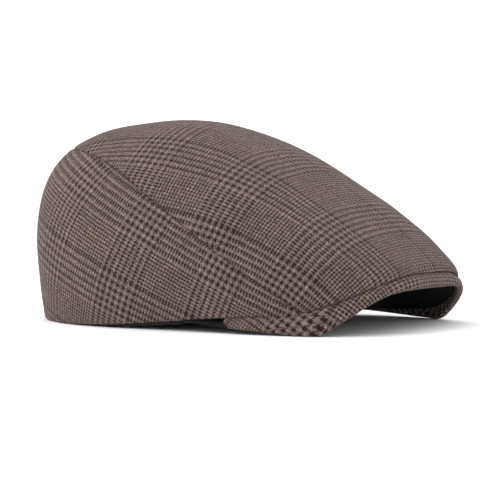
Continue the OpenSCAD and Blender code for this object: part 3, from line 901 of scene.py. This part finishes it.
def glen_check():
    """Brown and oatmeal wool in a two-and-two twill, with fibre, thread and dye variation. The hollows
    between the threads' crowns hold painted shade.
    """
    shader = Shader("glen_check_wool", Roughness=0.92, Specular_IOR_Level=0.18, Sheen_Weight=0.22,
                    Sheen_Roughness=0.45, Sheen_Tint=linear(190, 166, 160))
    u, v = shader.cloth_place()
    warp, weft, warp_up, height, x, y = weave(shader, u, v, THREAD, 2, 1.8, 1.7)
    dark_warp, dark_weft = striped(shader, warp, WARP_CHECK), striped(shader, weft, WEFT_CHECK)
    on_top = shader.math("MULTIPLY_ADD", warp_up, 2 * TOP_SHARE - 1, 1 - TOP_SHARE)
    dark = shader.blend_value(on_top, dark_weft, dark_warp)
    tan_warp, tan_weft = overcheck(shader, warp, WARP_CHECK), overcheck(shader, weft, WEFT_CHECK)
    tan = shader.blend_value(warp_up, tan_weft, tan_warp)
    number = shader.blend_value(warp_up, shader.math("ADD", weft, 5000.0), warp)
    thread_tone = shader.node("ShaderNodeTexWhiteNoise")
    thread_tone.noise_dimensions = "1D"
    shader.put(thread_tone.inputs["W"], number)
    warp_hairs = shader.vector(shader.math("MULTIPLY", x, 4.0), shader.math("MULTIPLY", y, 0.6))
    weft_hairs = shader.vector(shader.math("MULTIPLY", x, 0.6), shader.math("MULTIPLY", y, 4.0), 9.0)
    fibre_warp, fibre_weft = shader.noise(warp_hairs, 1.0, 3.0), shader.noise(weft_hairs, 1.0, 3.0)
    fibre = shader.blend_value(warp_up, fibre_weft, fibre_warp)
    slub = shader.noise(shader.vector(x, y, 3.0), 0.45, 3.0, 0.6)
    faded = shader.noise(shader.vector(x, y, 5.0), 0.02, 2.0)
    light = shader.mix(tan, LIGHT_YARN, TAN_YARN)
    colour = shader.mix(dark, light, DARK_YARN)
    cell = shader.vector(shader.math("DIVIDE", warp, 2.0), shader.math("DIVIDE", weft, 2.0), 11.0)
    patch = shader.noise(cell, 1.1, 2.0, 0.7)
    melange = shader.math("MULTIPLY_ADD", patch, 2.6, shader.math("MULTIPLY_ADD", fibre, 0.8, -1.15))
    melange.node.use_clamp = True
    colour = shader.mix(shader.math("MULTIPLY", melange, 0.45), colour, MIDDLE_YARN)
    tone = shader.math("MULTIPLY_ADD", thread_tone.outputs[0], 0.30, 0.85)
    slubbed = shader.math("MAXIMUM", shader.math("MULTIPLY_ADD", slub, 3.0, -0.5), 0.3)
    tone = shader.math("MULTIPLY", tone, slubbed)
    tone = shader.math("MULTIPLY", tone, shader.math("MULTIPLY_ADD", faded, 0.35, 0.82))
    # Painted shade: each thread darker at its edges and where it dips under, lighter on its crown.
    tone = shader.math("MULTIPLY", tone, shader.math("MULTIPLY_ADD", height, 0.5, 0.68))
    toned = shader.node("ShaderNodeVectorMath", i0=colour)
    toned.operation = "SCALE"
    shader.put(toned.inputs["Scale"], tone)
    shader.put(shader.surface.inputs["Base Color"], toned.outputs[0])
    fuzz = shader.math("MULTIPLY_ADD", fibre, 0.35, shader.math("MULTIPLY", slub, 0.5))
    shader.bump(shader.math("ADD", height, fuzz), 0.00024, 1.0)
    return shader.material


def plain_cloth(name, colour, other, pitch, over, depth, **settings):
    """A one-colour woven cloth with thread relief. Its colour runs between two tones of the same dye,
    at random over fibres and patches and lighter on the threads' crowns as painted light.
    """
    shader = Shader(name, **settings)
    u, v = shader.cloth_place()
    *_, height, x, y = weave(shader, u, v, pitch, over, 0.8)
    fibre = shader.noise(shader.vector(x, y), 0.9, 3.0)
    faded = shader.noise(shader.vector(x, y, 4.0), 0.015, 2.0)
    # Painted light and shade: threads' crowns lighter, hollows darker; fibre and fade add random tone.
    share = shader.math("MULTIPLY_ADD", height, 0.5, shader.math("MULTIPLY_ADD", fibre, 0.6, -0.25))
    share = shader.math("ADD", share, shader.math("MULTIPLY_ADD", faded, 0.5, -0.25))
    share.node.use_clamp = True
    shader.put(shader.surface.inputs["Base Color"], shader.mix(share, colour, other))
    rough = shader.math("MULTIPLY_ADD", fibre, 0.16, shader.surface.inputs["Roughness"].default_value - 0.08)
    shader.put(shader.surface.inputs["Roughness"], rough)
    shader.bump(shader.math("MULTIPLY_ADD", fibre, 0.3, height), depth, 0.7)
    return shader.material


def pressed_board(name, colour, other):
    """Stiffener board or buckram: pale, matt and faintly mottled with fibres."""
    shader = Shader(name, Roughness=0.85)
    place = shader.node("ShaderNodeTexCoord").outputs["Object"]
    mottle = shader.noise(place, 900.0, 4.0, 0.65)
    cloud = shader.noise(place, 60.0, 2.0)
    share = shader.math("MULTIPLY_ADD", mottle, 0.8, shader.math("MULTIPLY_ADD", cloud, 0.6, -0.35))
    share.node.use_clamp = True
    shader.put(shader.surface.inputs["Base Color"], shader.mix(share, colour, other))
    shader.bump(mottle, 0.00012, 0.6)
    return shader.material


def spun_thread(name, colour, other):
    """Sewing thread, with its twist as fine slanted bands of painted highlight on the twist's crowns."""
    shader = Shader(name, Roughness=0.6, Sheen_Weight=0.2)
    place = shader.node("ShaderNodeTexCoord").outputs["Object"]
    parts = shader.node("ShaderNodeSeparateXYZ", Vector=place)
    slant = shader.math("ADD", parts.outputs[0], shader.math("ADD", parts.outputs[1], parts.outputs[2]))
    twist = shader.math("SINE", shader.math("MULTIPLY", slant, 26000.0))
    twist = shader.math("MULTIPLY_ADD", twist, 0.5, 0.5)
    speck = shader.noise(place, 4000.0, 2.0)
    # Painted highlight: the twist's crowns lighter, broken up by random specks.
    share = shader.math("MULTIPLY", twist, speck)
    shader.put(shader.surface.inputs["Base Color"], shader.mix(share, colour, other))
    shader.bump(twist, 0.00005, 0.6)
    return shader.material


# --- stage -----------------------------------------------------------------------------------------

VIEW_AZIMUTH, VIEW_ELEVATION = -58.44, 2.37
VIEW_DISTANCE = 1.2
FIELD_WIDTH = 0.30275  # width of what the camera sees at that distance
AIM = Vector((0.0009, -0.0075, 0.0432))  # the point that the camera looks at


FLOOR_REACH, FLOOR_SIDES = 8.0, 64
WORLD_STRENGTH = 1.25
# Each softbox's name, place, diameter and power
SOFTBOXES = (("overhead", (-0.2, 0.7, 1.6), 1.6, 8.0), ("side", (-1.6, 0.9, 0.9), 1.2, 8.0))
LIT_POINT = Vector((0, 0, 0.05))


def set_stage():
    """A pale floor, a white surround and two soft lamps."""
    white = Shader("pale_floor", Roughness=0.9, Specular_IOR_Level=0.1)
    grain = white.noise(white.node("ShaderNodeTexCoord").outputs["Object"], 3.0, 2.0)
    pale = white.mix(grain, (0.93, 0.93, 0.93, 1), (0.95, 0.95, 0.95, 1))
    white.put(white.surface.inputs["Base Color"], pale)
    turns = np.linspace(0, 2 * math.pi, FLOOR_SIDES + 1)[:-1]
    ring = [(FLOOR_REACH * math.cos(a), FLOOR_REACH * math.sin(a), 0.0) for a in turns]
    floor = new_object("floor", ring, [tuple(range(FLOOR_SIDES))], white.material)

    world = bpy.data.worlds.new("studio")
    bpy.context.scene.world = world
    world.use_nodes = True
    background = world.node_tree.nodes["Background"]
    background.inputs["Color"].default_value = (1.0, 1.0, 1.0, 1.0)
    background.inputs["Strength"].default_value = WORLD_STRENGTH
    for name, place, size, power in SOFTBOXES:
        lamp = bpy.data.lights.new(name, "AREA")
        lamp.shape, lamp.size, lamp.energy = "DISK", size, power
        holder = bpy.data.objects.new(name, lamp)
        bpy.context.scene.collection.objects.link(holder)
        holder.location = place
        holder.rotation_mode = "QUATERNION"
        holder.rotation_quaternion = (LIT_POINT - Vector(place)).to_track_quat("-Z", "Y")
    bpy.context.scene.view_settings.view_transform = "Standard"


def set_camera():
    """A camera at the photograph's viewing angle, aimed at the cap."""
    a, e = math.radians(VIEW_AZIMUTH), math.radians(VIEW_ELEVATION)
    back = Vector((math.sin(a) * math.cos(e), -math.cos(a) * math.cos(e), math.sin(e)))
    lens = bpy.data.cameras.new("camera")
    lens.lens = lens.sensor_width * VIEW_DISTANCE / FIELD_WIDTH
    camera = bpy.data.objects.new("camera", lens)
    bpy.context.scene.collection.objects.link(camera)
    camera.location = AIM + back * VIEW_DISTANCE
    camera.rotation_mode = "QUATERNION"
    camera.rotation_quaternion = back.to_track_quat("Z", "Y")
    bpy.context.scene.camera = camera


# --- the cap ---------------------------------------------------------------------------------------

set_camera()
set_stage()

wool = glen_check()
black_twill = plain_cloth("black_visor_twill", linear(13, 13, 14), linear(30, 30, 32), 0.00042, 2, 0.00012,
                          Roughness=0.88, Specular_IOR_Level=0.2)
band_cloth = plain_cloth("black_sweatband_cotton", linear(16, 16, 18), linear(44, 43, 45), 0.0006, 1, 0.00018,
                         Roughness=0.85, Specular_IOR_Level=0.25, Sheen_Weight=0.1)
satin = plain_cloth("charcoal_lining_satin", linear(34, 32, 34), linear(62, 58, 60), 0.00022, 2, 0.00004,
                    Roughness=0.36, Specular_IOR_Level=0.5, Anisotropic=0.4, Sheen_Weight=0.15)
label_cloth = plain_cloth("white_label_satin", linear(196, 192, 184), linear(236, 233, 226), 0.0003, 1,
                          0.00006, Roughness=0.5)
black_thread = spun_thread("black_thread", linear(26, 26, 28), linear(70, 69, 72))
white_thread = spun_thread("white_thread", linear(190, 187, 180), linear(236, 234, 228))
board = pressed_board("visor_board_fibre", linear(196, 190, 172), linear(222, 217, 203))
buckram = pressed_board("stay_buckram", linear(202, 198, 184), linear(228, 225, 214))
frame["nodes"]["visor_board"].material_slots[0].material = board
frame["nodes"]["band_stay"].material_slots[0].material = buckram

sewn_edges = crown_edges()
top_panel(wool, sewn_edges)
side_panel(1, wool, sewn_edges)
side_panel(-1, wool, sewn_edges)
visor_top(wool)
visor_underside(black_twill)
make_lining(satin)
sweatband(band_cloth)
band_stitches(black_thread)
label("care_label_cloth", "care_label", "care_label_flip", 0.028, 0.024, label_cloth, white_thread)
label("size_tab_cloth", "size_tab", "size_tab_flip", 0.016, 0.012, label_cloth, white_thread)
